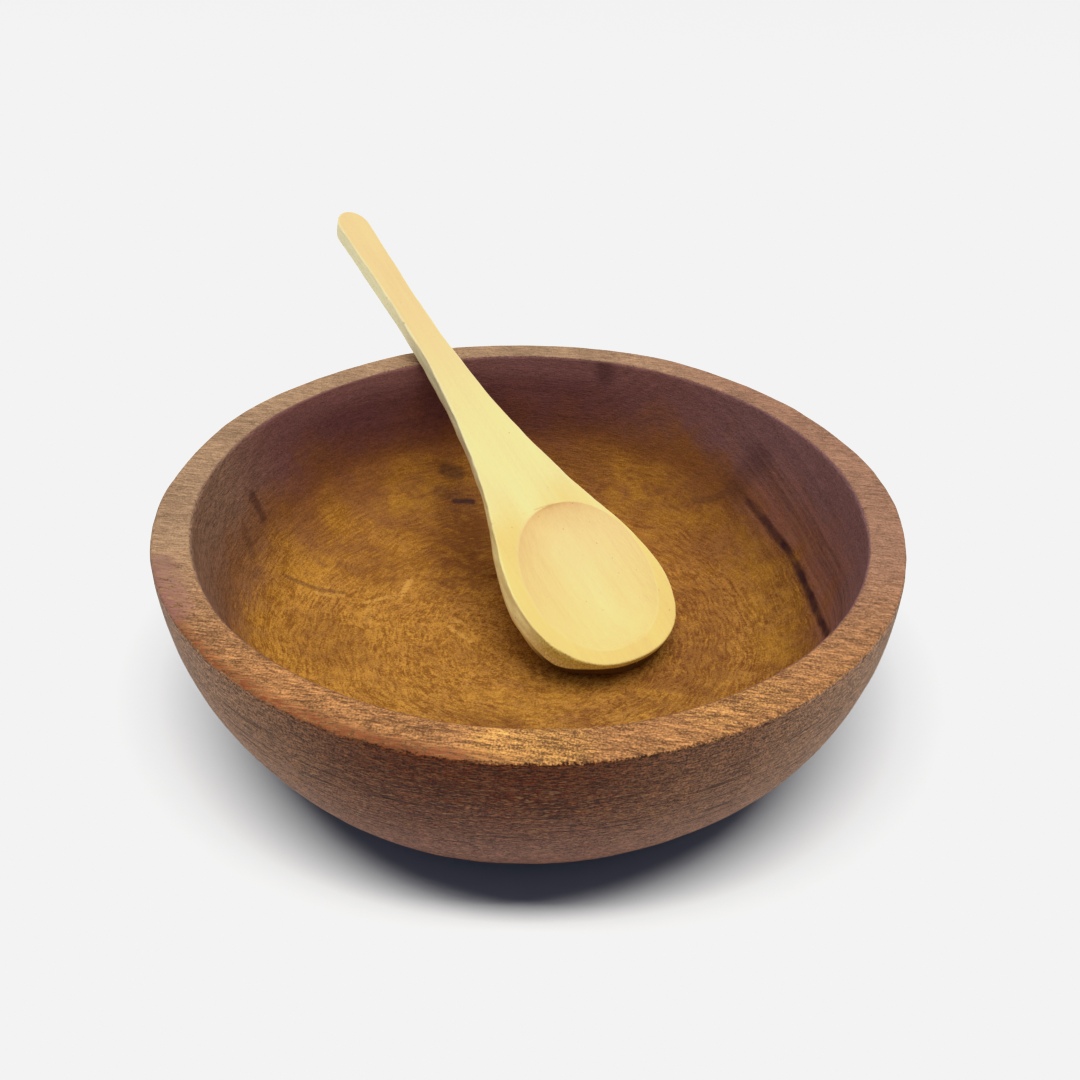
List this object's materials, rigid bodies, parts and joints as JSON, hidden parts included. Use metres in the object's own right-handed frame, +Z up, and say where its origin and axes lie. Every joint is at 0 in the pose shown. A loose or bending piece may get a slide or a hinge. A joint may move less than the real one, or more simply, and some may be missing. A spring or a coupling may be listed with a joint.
{
  "type": "wooden dipping bowl with spoon",
  "caption": "Low round turned wooden bowl with a flat rim and coved inside, for dips and sauces, with a small carved wooden spoon resting on its floor and rim.",
  "frame": {"origin": "centre of the bowl's flat base", "axes": "+Z up along the bowl's axis, +X to the viewer's right along the bowl's grain, +Y away from the viewer, the way the spoon's handle points out of the bowl"},
  "size_m": [0.13, 0.1546, 0.0638],
  "materials": {
    "bowl_wood": "dry satin, oiled reddish-brown hardwood",
    "spoon_wood": "matte, knife-cut pale yellow hardwood"
  },
  "bodies": {
    "bowl": {"bowl": "bowl_wood"},
    "spoon": {"spoon": "spoon_wood"}
  },
  "joints": [
    {"name": "spoon_lift", "type": "slide", "parent": "bowl", "child": "spoon", "axis": [0, 0, 1], "range_m": [0, 0.06]}
  ]
}
